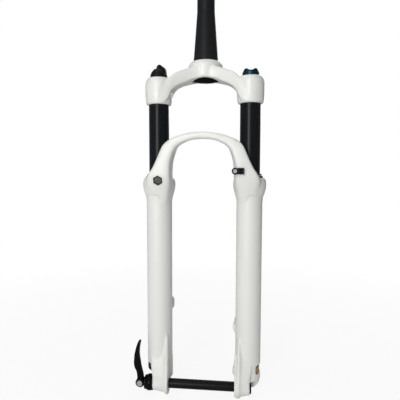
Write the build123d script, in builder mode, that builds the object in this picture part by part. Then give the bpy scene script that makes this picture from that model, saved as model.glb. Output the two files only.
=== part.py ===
from build123d import *
import math
import os

# Air-sprung bicycle suspension fork for a 29-inch wheel, in millimetres.
# Origin: on the steerer axis, at the shoulder where the lower headset race seats.
# +Z runs up the steerer and -Y is the way the bicycle rides.
# The damper leg is at -X and the air-spring leg, with the disc brake posts, is at +X.

os.makedirs("parts", exist_ok=True)

# Overall sizes.
axle_to_crown = 522.0
leg_spacing = 145.0
crown_offset = 28.0
axle_offset = 17.0
travel = 100.0

# Fits and clearances.
running_gap = 0.05
thread_gap = 0.02
loose_gap = 0.4
moving_gap = 0.6

# Steerer and crown.
steerer_length = 255.0
steerer_radius = 14.3
steerer_bore = 12.0
race_seat_radius = 19.9
race_seat_height = 6.0
steerer_base_radius = 19.5
taper_start = 9.0
taper_end = 80.0
neck_radius = 28.3
neck_fillet = 6.5
crown_depth = 28.5
neck_shoulder = 10.0
arm_front = 27.0
arm_rear = 22.0
arm_slope = 0.36
arm_edge = 4.0
boss_wall = 5.3
boss_drop = 30.5
boss_height = 42.3
boss_crown_fillet = 6.0
boss_chamfer = 2.0
plug_overlap = 3.0
plug_flange = 2.0
plug_stem = 12.0
plug_step = 0.5

# Stanchions and caps.
stanchion_radius = 16.0
stanchion_wall = 2.0
cap_flange = 3.0
cap_recess = 0.8
cap_thread_length = 16.0

# Lower legs.
bushing_wall = 1.25
leg_wall = 3.7
bottom_gap = 8.2
rim_drop = 7.5
seal_seat = 2.5
seal_seat_depth = 31.0
rim_relief = 4.6
rod_hole_gap = 0.1
cup_swell = 5.0
cup_height = 33.0
foot_rise = 42.0
floor_thickness = 6.0
damper_foot_rise = 29.0
air_foot_drop = 5.0
chamber_height = 18.0
window_height = 16.0
foot_nut_cover = 2.4
tool_hole_wall = 2.5
arch_rise = 63.5
arch_section = 11.5
arch_depth = 11.5
arch_inset = 0.1
arch_fillet = 3.2
arch_inner_fillet = 1.5
skirt_width = 34.0
bushing_length = 20.0

# Wheel axle.
axle_radius = 7.5
axle_bore = 3.2
hub_gap = 110.0
lever_overhang = 8.0
nut_overhang = 3.0
dropout_inner_radius = 17.0
dropout_outer_radius = 11.5
dropout_web = 82.0
hub_lip = 3.8
axle_nut_wall = 2.0

# Disc brake posts.
post_spacing = 74.0
post_radius = 8.0
post_reach = 40.0
post_thread_radius = 2.5
post_thread_depth = 18.0
post_inset = 15.5
post_low_rise = 16.0
lug_rise = 123.0
lug_radius = 5.5
lug_height = 18.0

# Damper and air spring.
cartridge_gap = 2.0
cartridge_wall = 1.2
rod_radius = 5.0
rod_bore = 2.0
needle_radius = 1.5
piston_length = 10.0
seal_head_length = 12.0

# Knobs.
knob_inset = 2.4
knob_height = 14.6
knob_tab = 7.0
rebound_knob_inset = 1.0
rebound_knob_height = 10.5

# Levels and places.
leg_x = leg_spacing / 2
leg_y = -crown_offset
axle_y = leg_y - axle_offset
axle_z = -axle_to_crown
boss_radius = stanchion_radius + boss_wall
boss_top = -boss_drop
boss_bottom = boss_top - boss_height
stanchion_inner = stanchion_radius - stanchion_wall
stanchion_top = boss_top - cap_flange - cap_recess
seal_top = boss_bottom - travel - bottom_gap
rim_top = seal_top - rim_drop
leg_bore = stanchion_radius + running_gap + bushing_wall
leg_radius = leg_bore + leg_wall
cup_radius = leg_radius + cup_swell
arch_inner_half = leg_x - cup_radius - arch_inset
plug_radius = steerer_base_radius + plug_overlap
lever_face = -leg_x - lever_overhang
nut_face = leg_x + nut_overhang
axle_nut_radius = axle_radius + axle_nut_wall
foot_nut_radius = leg_radius - foot_nut_cover
cartridge_radius = stanchion_inner - cartridge_gap
knob_radius = stanchion_radius - knob_inset
rebound_knob_radius = leg_radius - rebound_knob_inset
floor_top = axle_z + foot_rise
floor_bottom = floor_top - floor_thickness
stanchion_bottom = floor_top + travel + 10
damper_foot = axle_z + damper_foot_rise
air_foot = axle_z - air_foot_drop
arch_top = seal_top + arch_rise
arch_back = leg_y - boss_radius - 1.2
arch_front = arch_back - arch_depth
sides = {"damper": -leg_x, "air": leg_x}


def turn(points, x, y=leg_y, mode=Mode.ADD):
    # A solid of revolution about the vertical line through x and y; points are radius and height.
    upright = Plane(origin=(x, y, 0), x_dir=(1, 0, 0), z_dir=(0, -1, 0))
    with BuildSketch(upright) as profile:
        with BuildLine():
            Polyline(*points, close=True)
        make_face()
    revolve(profile.sketch, axis=Axis((x, y, 0), (0, 0, 1)), mode=mode)


def ring(outer, inner, bottom, top, x, y=leg_y, mode=Mode.ADD):
    # An upright tube, or a plain round bar where inner is nought.
    turn([(inner, bottom), (outer, bottom), (outer, top), (inner, top)], x, y, mode)


def axle_ring(outer, inner, start, end, mode=Mode.ADD):
    # A tube along the wheel axle, from one X to the other.
    across = Plane(origin=(start, axle_y, axle_z), x_dir=(0, 1, 0), z_dir=(1, 0, 0))
    with BuildSketch(across) as profile:
        Circle(outer)
        if inner:
            Circle(inner, mode=Mode.SUBTRACT)
    extrude(profile.sketch, amount=end - start, mode=mode)


def keep(piece, name):
    piece.label = name
    export_step(piece, f"parts/{name}.step")


# Steerer.
with BuildPart() as steerer:
    turn(
        [
            (steerer_bore + plug_step, -crown_depth + plug_flange),
            (steerer_base_radius, -crown_depth + plug_flange),
            (steerer_base_radius, 0),
            (race_seat_radius, 0),
            (race_seat_radius, race_seat_height),
            (steerer_base_radius, taper_start),
            (steerer_radius, taper_end),
            (steerer_radius, steerer_length - 1),
            (steerer_radius - 1, steerer_length),
            (steerer_bore, steerer_length),
            (steerer_bore, plug_stem - crown_depth),
            (steerer_bore + plug_step, plug_stem - crown_depth),
        ],
        0,
        0,
    )
keep(steerer.part, "steerer_tube")

# Crown.
arm_end_height = -neck_shoulder - arm_slope * (leg_x - neck_radius)
arm_foot = boss_bottom + 12
arm_inset = 4.0
underside_foot = leg_x - boss_radius + 3
underside_shoulder = underside_foot - 6
underside_sag = 20.0
underside_side = -crown_depth - underside_sag
boss_front = leg_y - boss_radius + 3
boss_back = leg_y + boss_radius - arm_inset
sweep_x = leg_x * 0.45
sweep_front = -arm_front - 6

with BuildPart() as crown:
    # Front view of the arms: sloping tops over an arched underside.
    with BuildSketch(Plane.XZ.offset(arm_rear * -2)):
        with BuildLine():
            Polyline(
                (-leg_x, arm_foot),
                (-leg_x, arm_end_height),
                (-neck_radius + arm_inset, -neck_shoulder),
                (neck_radius - arm_inset, -neck_shoulder),
                (leg_x, arm_end_height),
                (leg_x, arm_foot),
                (underside_foot, arm_foot),
                (underside_shoulder, underside_side),
            )
            ThreePointArc(
                (underside_shoulder, underside_side),
                (0, -crown_depth),
                (-underside_shoulder, underside_side),
            )
            Polyline(
                (-underside_shoulder, underside_side),
                (-underside_foot, arm_foot),
                (-leg_x, arm_foot),
            )
        make_face()
    extrude(amount=arm_rear * 2 + crown_offset + boss_radius + 5)
    # Seen from above the arms sweep forward from the neck to the stanchion bosses.
    with BuildSketch(Plane.XY.offset(boss_bottom)):
        with BuildLine():
            Polyline(
                (-leg_x, boss_back),
                (-neck_radius, arm_rear),
                (neck_radius, arm_rear),
                (leg_x, boss_back),
                (leg_x, boss_front),
            )
            Spline(
                (leg_x, boss_front),
                (sweep_x, sweep_front),
                (0, -arm_front),
                (-sweep_x, sweep_front),
                (-leg_x, boss_front),
            )
            Line((-leg_x, boss_front), (-leg_x, boss_back))
        make_face()
    extrude(amount=-boss_bottom, mode=Mode.INTERSECT)
    fillet(crown.edges().filter_by(GeomType.LINE).group_by(Axis.Z)[-1].filter_by(Axis.X), arm_edge)
    turn(
        [
            (0, -crown_depth),
            (neck_radius, -crown_depth),
            (neck_radius, -neck_fillet),
            (neck_radius - neck_fillet * 0.3, -neck_fillet * 0.3),
            (neck_radius - neck_fillet, 0),
            (0, 0),
        ],
        0,
        0,
    )
    for x in sides.values():
        turn(
            [
                (0, boss_bottom),
                (boss_radius - boss_chamfer, boss_bottom),
                (boss_radius, boss_bottom + boss_chamfer * 2),
                (boss_radius, boss_top - boss_crown_fillet),
                (boss_radius - boss_crown_fillet * 0.3, boss_top - boss_crown_fillet * 0.3),
                (boss_radius - boss_crown_fillet * 0.8, boss_top),
                (0, boss_top),
            ],
            x,
        )
        ring(stanchion_radius, 0, boss_bottom - 1, 0, x, leg_y, Mode.SUBTRACT)
    ring(steerer_base_radius, 0, -crown_depth - 1, 1, 0, 0, Mode.SUBTRACT)
    ring(plug_radius + thread_gap, 0, -crown_depth - 15, -crown_depth + plug_flange, 0, 0, Mode.SUBTRACT)
keep(crown.part, "crown")

with BuildPart() as crown_plug:
    ring(plug_radius, 0, -crown_depth, -crown_depth + plug_flange, 0, 0)
    stem_radius = steerer_bore + plug_step - running_gap
    ring(stem_radius, stem_radius - 2, -crown_depth + plug_flange, plug_stem - crown_depth - 0.1, 0, 0)
keep(crown_plug.part, "crown_plug")

# Stanchions.
for side, x in sides.items():
    with BuildPart() as stanchion:
        ring(stanchion_radius, stanchion_inner, stanchion_bottom, stanchion_top, x)
    keep(stanchion.part, f"{side}_stanchion")

# Damper in the stanchion at -X.
shaft_radius = 3.0
cap_thread_radius = stanchion_inner - thread_gap
cartridge_top = stanchion_top - cap_thread_length
cartridge_bottom = stanchion_bottom + 26
cartridge_bore = cartridge_radius - cartridge_wall
valve_post = 5.5
valve_top = cartridge_top - 34
damper_x = sides["damper"]
cap_top = stanchion_top + cap_flange

with BuildPart() as damper_top_cap:
    turn(
        [
            (shaft_radius + running_gap, valve_top - 2),
            (valve_post, valve_top - 2),
            (valve_post, cartridge_top - 8),
            (cartridge_bore - thread_gap, cartridge_top - 8),
            (cartridge_bore - thread_gap, cartridge_top),
            (cap_thread_radius, cartridge_top),
            (cap_thread_radius, stanchion_top),
            (stanchion_radius - running_gap, stanchion_top),
            (stanchion_radius - running_gap, cap_top),
            (shaft_radius + running_gap, cap_top),
        ],
        damper_x,
    )
keep(damper_top_cap.part, "damper_top_cap")

with BuildPart() as damper_cartridge:
    ring(cartridge_radius, cartridge_bore, cartridge_bottom, cartridge_top, damper_x)
keep(damper_cartridge.part, "damper_cartridge")

with BuildPart() as compression_valve:
    ring(cartridge_bore - running_gap, shaft_radius + running_gap, valve_top - 14, valve_top - 2, damper_x)
    for port in PolarLocations(7.6, 6, start_angle=15):
        with Locations((damper_x + port.position.X, leg_y + port.position.Y, valve_top - 8)):
            Cylinder(1.4, 16, mode=Mode.SUBTRACT)
keep(compression_valve.part, "compression_valve")

with BuildPart() as cartridge_seal_head:
    turn(
        [
            (rod_radius + running_gap, cartridge_bottom - 3),
            (cartridge_radius, cartridge_bottom - 3),
            (cartridge_radius, cartridge_bottom),
            (cartridge_bore - thread_gap, cartridge_bottom),
            (cartridge_bore - thread_gap, cartridge_bottom + seal_head_length),
            (rod_radius + running_gap, cartridge_bottom + seal_head_length),
        ],
        damper_x,
    )
keep(cartridge_seal_head.part, "cartridge_seal_head")

# Compression knob.
knob_base = boss_top + 0.4
knob_top = knob_base + knob_height

with BuildPart() as compression_knob:
    turn(
        [
            (0, knob_base),
            (knob_radius, knob_base),
            (knob_radius, knob_base + 5),
            (knob_radius - 1.2, knob_base + 9),
            (knob_radius - 4.2, knob_top - 1.6),
            (knob_radius - 7, knob_top),
            (0, knob_top),
        ],
        damper_x,
    )
    # A raised finger tab stands across the dome.
    with BuildSketch(Plane(origin=(damper_x, leg_y, 0), x_dir=(1, 0, 0), z_dir=(0, -1, 0))):
        with BuildLine():
            Polyline(
                (-4.2, knob_top - 4),
                (-3.4, knob_top + knob_tab - 2.4),
                (0, knob_top + knob_tab),
                (3.4, knob_top + knob_tab - 2.4),
                (7.5, knob_top - 4),
                close=True,
            )
        make_face()
    extrude(amount=9, both=True)
    fillet(compression_knob.edges().filter_by(Axis.Y).group_by(Axis.Z)[-1], 1.5)
    for grip in PolarLocations(knob_radius + 0.6, 16):
        with Locations((damper_x + grip.position.X, leg_y + grip.position.Y, knob_base + 3)):
            Cylinder(1.2, 6, mode=Mode.SUBTRACT)
    ring(shaft_radius, 0, knob_base - 1, knob_top - 3, damper_x, leg_y, Mode.SUBTRACT)
keep(compression_knob.part, "compression_knob")

with BuildPart() as compression_shaft:
    ring(shaft_radius, 0, valve_top - 12, knob_top - 3, damper_x)
keep(compression_shaft.part, "compression_shaft")

# Air spring cap in the stanchion at +X.
air_x = sides["air"]
valve_body = 3.9
valve_stem = 6.0
air_cap_radius = stanchion_radius - 3
air_cap_height = 10.5
air_cap_top = boss_top + air_cap_height
gasket_outer = 9.4
stem_top = boss_top + 5.2
socket_gap = 0.4
channel_radius = 7.0
channel_depth = 3.2
grip_radius = 4.2

with BuildPart() as air_top_cap:
    turn(
        [
            (valve_body, stanchion_top - cap_thread_length),
            (cap_thread_radius, stanchion_top - cap_thread_length),
            (cap_thread_radius, stanchion_top),
            (stanchion_radius - running_gap, stanchion_top),
            (stanchion_radius - running_gap, cap_top),
            (valve_stem, cap_top),
            (valve_stem, stem_top),
            (valve_body, stem_top),
        ],
        air_x,
    )
keep(air_top_cap.part, "air_top_cap")

with BuildPart() as air_valve_core:
    ring(valve_body - thread_gap, 0, stanchion_top - cap_thread_length + 2, stem_top - 1.5, air_x)
    ring(1.1, 0, stem_top - 1.5, stem_top, air_x)
keep(air_valve_core.part, "air_valve_core")

with BuildPart() as air_cap:
    turn(
        [
            (0, boss_top + loose_gap),
            (air_cap_radius, boss_top + loose_gap),
            (air_cap_radius, boss_top + 5),
            (air_cap_radius - 2.6, air_cap_top),
            (0, air_cap_top),
        ],
        air_x,
    )
    # Finger hollows at the rim, a finger channel across the top, and the socket over the valve.
    for grip in PolarLocations(air_cap_radius + 1.4, 4, start_angle=45):
        with Locations((air_x + grip.position.X, leg_y + grip.position.Y, air_cap_top)):
            Cylinder(grip_radius, 8, mode=Mode.SUBTRACT)
    with Locations(Location((air_x, leg_y, air_cap_top + channel_radius - channel_depth), (90, 0, 0))):
        Cylinder(channel_radius, air_cap_radius * 2, mode=Mode.SUBTRACT)
    ring(valve_stem + running_gap, 0, boss_top, stem_top + socket_gap, air_x, leg_y, Mode.SUBTRACT)
    ring(gasket_outer + loose_gap, 0, boss_top, boss_top + 1.7, air_x, leg_y, Mode.SUBTRACT)
keep(air_cap.part, "air_cap")

with BuildPart() as air_cap_gasket:
    ring(gasket_outer, valve_stem + running_gap, cap_top, boss_top + 1.3, air_x)
keep(air_cap_gasket.part, "air_cap_gasket")

seal_head_foot = stanchion_bottom + 4
seal_head_top = seal_head_foot + seal_head_length

with BuildPart() as air_seal_head:
    ring(cap_thread_radius, rod_radius + running_gap, seal_head_foot, seal_head_top, air_x)
keep(air_seal_head.part, "air_seal_head")

with BuildPart() as seal_head_circlip:
    ring(cap_thread_radius, stanchion_inner - 2.5, stanchion_bottom + 2.5, stanchion_bottom + 4, air_x)
    with Locations((air_x, leg_y - stanchion_inner, stanchion_bottom + 3.2)):
        Box(7, 9, 4, mode=Mode.SUBTRACT)
keep(seal_head_circlip.part, "seal_head_circlip")

# Lower casting.
cup_bottom = seal_top - cup_height
shoulder_x = arch_inner_half + 10.6
shoulder_z = arch_top - 16
flank_x = shoulder_x + 13
flank_z = arch_top - 39
arch_end_x = shoulder_x + 26
brow_x = shoulder_x * 0.526
brow_z = arch_top - 3.6
arch_underside = arch_top - arch_section
inner_brow_x = arch_inner_half * 0.655
inner_brow_z = arch_underside - 7.5
inner_side_x = arch_inner_half * 0.903
inner_side_z = arch_underside - 20
wall_top = seal_top + 10
wall_width = 6.0
wall_depth = 18.0
wall_height = 36.0

guide_x = arch_inner_half + 7.5
guide_z = seal_top + 3.6
guide_screw_x = guide_x - 3.9
screw_radius = 1.5


def dropout_outline(across, radius):
    # Side view of a dropout: a web running down the front of the leg into an eye around the axle.
    top = (leg_y - leg_radius + 2, axle_z + dropout_web)
    reach = math.dist(top, (axle_y, axle_z))
    lean = math.atan2(top[1] - axle_z, top[0] - axle_y) + math.acos(radius / reach)
    touch = (axle_y + radius * math.cos(lean), axle_z + radius * math.sin(lean))
    side_view = Plane(origin=(across, 0, 0), x_dir=(0, 1, 0), z_dir=(1, 0, 0))
    with BuildSketch(side_view) as outline:
        with BuildLine():
            Line(top, touch)
            ThreePointArc(touch, (axle_y, axle_z - radius), (axle_y + radius, axle_z))
            Line((axle_y + radius, axle_z), (axle_y + radius, top[1]))
            Line((axle_y + radius, top[1]), top)
        make_face()
    return outline.sketch


def leg_outline(foot):
    # Half section of a leg, from its foot up through the swollen seal cup.
    return [
        (0, foot),
        (leg_radius - 3, foot),
        (leg_radius, foot + 4),
        (leg_radius, cup_bottom - 22),
        (leg_radius + 0.9, cup_bottom - 10),
        (cup_radius - 1, cup_bottom + 3),
        (cup_radius, cup_bottom + 15),
        (cup_radius - 1.2, cup_bottom + 23),
        (cup_radius - 3.5, rim_top),
        (0, rim_top),
    ]


with BuildPart() as lower_casting:
    # The arch stands ahead of the stanchions so that it clears the crown at full travel.
    with BuildSketch(Plane.XZ.offset(-arch_back)):
        with BuildLine():
            Spline(
                (-arch_end_x, seal_top),
                (-flank_x, flank_z),
                (-shoulder_x, shoulder_z),
                (-brow_x, brow_z),
                (0, arch_top),
                (brow_x, brow_z),
                (shoulder_x, shoulder_z),
                (flank_x, flank_z),
                (arch_end_x, seal_top),
            )
            Polyline(
                (arch_end_x, seal_top),
                (arch_inner_half, seal_top),
                (arch_inner_half, wall_top),
            )
            Spline(
                (arch_inner_half, wall_top),
                (inner_side_x, inner_side_z),
                (inner_brow_x, inner_brow_z),
                (0, arch_underside),
                (-inner_brow_x, inner_brow_z),
                (-inner_side_x, inner_side_z),
                (-arch_inner_half, wall_top),
                tangents=[(0, 1), (0, -1)],
            )
            Polyline(
                (-arch_inner_half, wall_top),
                (-arch_inner_half, seal_top),
                (-arch_end_x, seal_top),
            )
        make_face()
    extrude(amount=arch_depth)
    front_rim = lower_casting.faces().sort_by(Axis.Y)[0].edges().sort_by(SortBy.LENGTH)
    fillet(front_rim[-1], arch_fillet)
    inner_rim = lower_casting.faces().sort_by(Axis.Y)[0].edges().sort_by(SortBy.LENGTH)[-2]
    fillet(inner_rim, arch_inner_fillet)
    for side, x in sides.items():
        outward = math.copysign(1, x)
        # Skirt that carries the arch down into the seal cup.
        with BuildSketch(Plane.XY.offset(seal_top)) as skirt_top:
            with Locations((outward * (arch_inner_half + skirt_width / 2), (arch_front + leg_y) / 2)):
                Rectangle(skirt_width, leg_y - arch_front)
        with BuildSketch(Plane.XY.offset(cup_bottom)) as skirt_bottom:
            with Locations((x, (leg_y * 2 - leg_radius) / 2)):
                Rectangle(leg_radius * 1.4, leg_radius)
        loft()
        # Inner wall between the arch and the cup.
        wall_x = outward * (arch_inner_half + wall_width / 2)
        with Locations((wall_x, arch_front + wall_depth / 2, seal_top + 8)):
            Box(wall_width, wall_depth, wall_height)
        turn(leg_outline(damper_foot if side == "damper" else air_foot), x)
        loft([
            dropout_outline(outward * hub_gap / 2, dropout_inner_radius),
            dropout_outline(lever_face if side == "damper" else nut_face, dropout_outer_radius),
        ], ruled=True)
    # Lip on the rotor side that guides the hub end on to its seat.
    loft([
        dropout_outline(hub_gap / 2 - hub_lip, dropout_inner_radius - 2),
        dropout_outline(hub_gap / 2, dropout_inner_radius),
    ], ruled=True)
    axle_ring(dropout_inner_radius - 4.5, 0, hub_gap / 2 - hub_lip - 1, hub_gap / 2, Mode.SUBTRACT)
    # Brake posts behind the air leg.
    for rise in (post_low_rise, post_low_rise + post_spacing):
        with Locations(Location((leg_x - post_inset, leg_y + post_reach / 2, axle_z + rise), (90, 0, 0))):
            Cylinder(post_radius, post_reach)
    # Casting lug low on the inner side of the damper leg.
    with Locations((-leg_x + leg_radius - 5, leg_y + 17, axle_z + lug_rise)):
        Cylinder(lug_radius, lug_height)
    for side, x in sides.items():
        # Bore, counterbore for the seals, and the floor with its bolt hole.
        ring(leg_bore, 0, floor_top, seal_top, x, leg_y, Mode.SUBTRACT)
        ring(leg_bore + seal_seat, 0, seal_top - seal_seat_depth, seal_top + 1, x, leg_y, Mode.SUBTRACT)
        ring(leg_bore + rim_relief, 0, rim_top, seal_top + 1, x, leg_y, Mode.SUBTRACT)
        ring(rod_radius + rod_hole_gap, 0, floor_bottom - 1, floor_top + 1, x, leg_y, Mode.SUBTRACT)
    # Pocket and hollow for the rebound knob under the damper leg.
    ring(leg_bore - 1, 0, damper_foot - 1, floor_bottom, damper_x, leg_y, Mode.SUBTRACT)
    knob_pocket = damper_foot - rebound_knob_height - 2
    ring(rebound_knob_radius + moving_gap, 0, knob_pocket, damper_foot, damper_x, leg_y, Mode.SUBTRACT)
    # Chamber with a side window around the air-spring foot nut, and the tool hole below it.
    ring(foot_nut_radius + moving_gap, 0, floor_bottom - chamber_height, floor_bottom, air_x, leg_y, Mode.SUBTRACT)
    tool_hole = axle_offset - axle_radius - tool_hole_wall
    ring(tool_hole, 0, air_foot - 1, floor_bottom, air_x, leg_y, Mode.SUBTRACT)
    with Locations((leg_x + leg_radius, leg_y, floor_bottom - 0.5 - window_height / 2)):
        Box(leg_radius * 2, foot_nut_radius * 2 - 4, window_height, mode=Mode.SUBTRACT)
    for rise in (post_low_rise, post_low_rise + post_spacing):
        post_end = leg_y + post_reach - post_thread_depth / 2
        with Locations(Location((leg_x - post_inset, post_end, axle_z + rise), (90, 0, 0))):
            Cylinder(post_thread_radius, post_thread_depth, mode=Mode.SUBTRACT)
    axle_ring(axle_radius + running_gap, 0, lever_face - 5, nut_face + 5, Mode.SUBTRACT)
    axle_ring(axle_nut_radius + loose_gap, 0, nut_face, leg_x + leg_radius + 1, Mode.SUBTRACT)
    with Locations(Location((guide_screw_x, arch_front + 3, guide_z), (90, 0, 0))):
        Cylinder(screw_radius, 8, mode=Mode.SUBTRACT)
keep(lower_casting.part, "lower_casting")

# Bushings, seals and oil rings in the legs.
seal_outer = leg_bore + seal_seat - thread_gap
wiper_lip = 4.5
upper_bushing_top = seal_top - seal_seat_depth - 1

for side, x in sides.items():
    for place, top in (("upper", upper_bushing_top), ("lower", stanchion_bottom + 8 + bushing_length)):
        with BuildPart() as bushing:
            ring(leg_bore, stanchion_radius + running_gap, top - bushing_length, top, x)
        keep(bushing.part, f"{side}_{place}_bushing")

    with BuildPart() as dust_wiper:
        turn(
            [
                (stanchion_radius + running_gap, seal_top - 14),
                (seal_outer, seal_top - 14),
                (seal_outer, rim_top),
                (leg_bore + 3.6, rim_top),
                (leg_bore + 3.6, seal_top - 5),
                (leg_bore + 0.6, seal_top - 0.6),
                (leg_bore - 0.5, seal_top),
                (stanchion_radius + running_gap, seal_top),
            ],
            x,
        )
        # Groove for the garter spring.
        ring(leg_bore + 4, leg_bore + 1.2, seal_top - 4.2, seal_top - 2.6, x, leg_y, Mode.SUBTRACT)
    keep(dust_wiper.part, f"{side}_dust_wiper")

    with BuildPart() as garter_spring:
        with Locations((x, leg_y, seal_top - 3.4)):
            Torus(leg_bore + 1.9, 0.65)
    keep(garter_spring.part, f"{side}_garter_spring")

    with BuildPart() as oil_seal:
        turn(
            [
                (stanchion_radius + running_gap, seal_top - 21),
                (seal_outer, seal_top - 21),
                (seal_outer, seal_top - 14.5),
                (stanchion_radius + 2, seal_top - 14.5),
                (stanchion_radius + 1.4, seal_top - 18),
                (stanchion_radius + running_gap, seal_top - 18),
            ],
            x,
        )
    keep(oil_seal.part, f"{side}_oil_seal")

    with BuildPart() as foam_ring:
        ring(seal_outer, stanchion_radius + loose_gap, seal_top - 30.5, seal_top - 21.5, x)
    keep(foam_ring.part, f"{side}_foam_ring")

# Damper rod and its foot.
rod_top = cartridge_bottom + seal_head_length + piston_length + 8
piston_bottom = rod_top - piston_length - 2
piston_middle = piston_bottom + piston_length / 2
washer_thickness = 1.2
foot_bolt_head = 3.6
thread_depth = 14.0
bolt_thread = 3.6

with BuildPart() as damper_rod:
    ring(rod_radius, rod_bore, floor_bottom + 1, rod_top, damper_x)
    ring(bolt_thread, 0, floor_bottom, floor_top + thread_depth, damper_x, leg_y, Mode.SUBTRACT)
    chamfer(damper_rod.edges().group_by(Axis.Z)[-1], 0.6)
keep(damper_rod.part, "damper_rod")

with BuildPart() as damper_piston:
    ring(cartridge_bore - running_gap, rod_radius, piston_bottom, piston_bottom + piston_length, damper_x)
    for port in PolarLocations(7.8, 8):
        with Locations((damper_x + port.position.X, leg_y + port.position.Y, piston_middle)):
            Cylinder(1.2, piston_length + 1, mode=Mode.SUBTRACT)
keep(damper_piston.part, "damper_piston")

with BuildPart() as damper_crush_washer:
    ring(9, rod_radius + rod_hole_gap, floor_bottom - washer_thickness, floor_bottom, damper_x)
keep(damper_crush_washer.part, "damper_crush_washer")

with BuildPart() as damper_foot_bolt:
    with BuildSketch(Plane(origin=(damper_x, leg_y, floor_bottom - washer_thickness - foot_bolt_head))):
        RegularPolygon(7.5, 6)
        Circle(needle_radius + running_gap, mode=Mode.SUBTRACT)
    extrude(amount=foot_bolt_head)
    ring(
        bolt_thread - thread_gap, needle_radius + running_gap, floor_bottom - washer_thickness,
        floor_top + thread_depth - 1, damper_x,
    )
keep(damper_foot_bolt.part, "damper_foot_bolt")

with BuildPart() as rebound_needle:
    ring(needle_radius, 0, damper_foot - 7, rod_top - 4, damper_x)
keep(rebound_needle.part, "rebound_needle")

with BuildPart() as rebound_knob:
    knob_upper = damper_foot - 0.8
    knob_middle = knob_upper - rebound_knob_height / 2
    turn(
        [
            (0, knob_upper - rebound_knob_height + 2),
            (rebound_knob_radius - 6, knob_upper - rebound_knob_height),
            (rebound_knob_radius - 1.5, knob_upper - rebound_knob_height),
            (rebound_knob_radius, knob_upper - rebound_knob_height + 1.5),
            (rebound_knob_radius, knob_upper - 1),
            (rebound_knob_radius - 1, knob_upper),
            (rebound_knob_radius - 4, knob_upper),
            (rebound_knob_radius - 5, knob_upper - 4),
            (0, knob_upper - 4),
        ],
        damper_x,
    )
    for grip in PolarLocations(rebound_knob_radius + 0.7, 24):
        with Locations((damper_x + grip.position.X, leg_y + grip.position.Y, knob_middle)):
            Cylinder(1.4, rebound_knob_height + 2, mode=Mode.SUBTRACT)
    ring(needle_radius, 0, knob_upper - 7, knob_upper, damper_x, leg_y, Mode.SUBTRACT)
keep(rebound_knob.part, "rebound_knob")

# Air spring rod and its foot.
air_piston_bottom = seal_head_top + 9
air_piston_top = air_piston_bottom + piston_length
groove_radius = stanchion_inner - 2.2
groove_bottom = air_piston_bottom + 3.5
groove_top = groove_bottom + 3.0

with BuildPart() as air_rod:
    ring(rod_radius, rod_bore, floor_bottom + 1, air_piston_top, air_x)
    ring(bolt_thread, 0, floor_bottom, floor_top + thread_depth, air_x, leg_y, Mode.SUBTRACT)
    chamfer(air_rod.edges().group_by(Axis.Z)[-1], 0.6)
keep(air_rod.part, "air_rod")

with BuildPart() as air_piston:
    ring(stanchion_inner - running_gap, rod_radius, air_piston_bottom, air_piston_top, air_x)
    ring(stanchion_inner + 1, groove_radius, groove_bottom, groove_top, air_x, leg_y, Mode.SUBTRACT)
keep(air_piston.part, "air_piston")

with BuildPart() as piston_seal_ring:
    ring(
        stanchion_inner - running_gap, groove_radius + thread_gap,
        groove_bottom + 0.1, groove_top - 0.1, air_x,
    )
keep(piston_seal_ring.part, "piston_seal_ring")

with BuildPart() as top_out_bumper:
    ring(stanchion_inner - 3, rod_radius + rod_hole_gap, air_piston_bottom - 7, air_piston_bottom, air_x)
keep(top_out_bumper.part, "top_out_bumper")

with BuildPart() as bottom_out_bumper:
    ring(stanchion_inner - 2, rod_radius + rod_hole_gap, floor_top, floor_top + 8, air_x)
keep(bottom_out_bumper.part, "bottom_out_bumper")

with BuildPart() as air_crush_washer:
    ring(foot_nut_radius, rod_radius + rod_hole_gap, floor_bottom - 5, floor_bottom, air_x)
keep(air_crush_washer.part, "air_foot_washer")

with BuildPart() as air_foot_nut:
    ring(foot_nut_radius, 0, floor_bottom - 16, floor_bottom - 5, air_x)
    chamfer(air_foot_nut.edges().filter_by(GeomType.CIRCLE).sort_by(Axis.Z)[0], 1.2)
    for flute in PolarLocations(foot_nut_radius + 1.1, 12):
        with Locations((air_x + flute.position.X, leg_y + flute.position.Y, floor_bottom - 10)):
            Cylinder(1.8, 14, mode=Mode.SUBTRACT)
    ring(bolt_thread - thread_gap, 0, floor_bottom - 5, floor_top + thread_depth - 1, air_x)
    with BuildSketch(Plane(origin=(air_x, leg_y, floor_bottom - 17))):
        RegularPolygon(4, 6)
    extrude(amount=8, mode=Mode.SUBTRACT)
keep(air_foot_nut.part, "air_foot_nut")

# Small fittings on the lower legs.
badge_width = 14.0
badge_thickness = 1.6
badge_drop = 10.0
skirt_slope = math.atan2(leg_y - leg_radius - arch_front, cup_height)
badge_y = arch_front + badge_drop * math.tan(skirt_slope)
badge_face = Plane(
    origin=(-leg_x + 4.1, badge_y, seal_top - badge_drop),
    x_dir=(1, 0, 0),
    z_dir=(0, -math.cos(skirt_slope), -math.sin(skirt_slope)),
)

with BuildPart() as hex_badge:
    with BuildSketch(badge_face):
        RegularPolygon(badge_width / 2, 6, major_radius=False, rotation=30)
    extrude(amount=badge_thickness)
    chamfer(hex_badge.faces().sort_by(Axis.Y)[0].edges(), 0.5)
keep(hex_badge.part, "hex_badge")

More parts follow.
